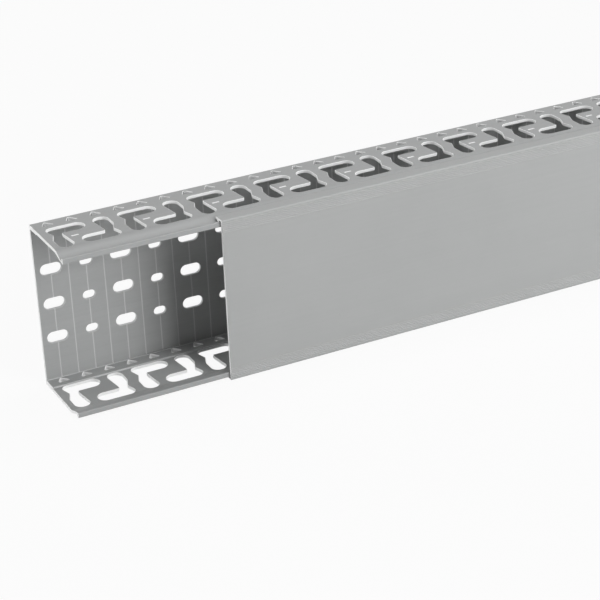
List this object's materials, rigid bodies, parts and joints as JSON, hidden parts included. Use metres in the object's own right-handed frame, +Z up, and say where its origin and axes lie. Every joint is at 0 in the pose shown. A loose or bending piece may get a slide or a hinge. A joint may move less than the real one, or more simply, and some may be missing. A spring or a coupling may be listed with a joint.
{
  "type": "slotted wire duct",
  "caption": "Straight plastic cable trunking with a perforated back, punched side walls and a clip-on lid that slides along it.",
  "frame": {"origin": "middle of the bounding box, at the level floor the duct stands on", "axes": "+X along the duct towards the end where the lid stands out, +Y out of the perforated back wall, +Z up across the width; the lid faces -Y"},
  "size_m": [1.11, 0.063, 0.118],
  "materials": {
    "base_plastic": "satin grey",
    "lid_plastic": "satin grey, a shade lighter"
  },
  "bodies": {
    "duct": {"duct_base": "base_plastic"},
    "cover": {"lid": "lid_plastic"}
  },
  "joints": [
    {"name": "lid_slide", "type": "slide", "parent": "duct", "child": "cover", "axis": [1, 0, 0], "range_m": [-0.11, 0.29]}
  ]
}
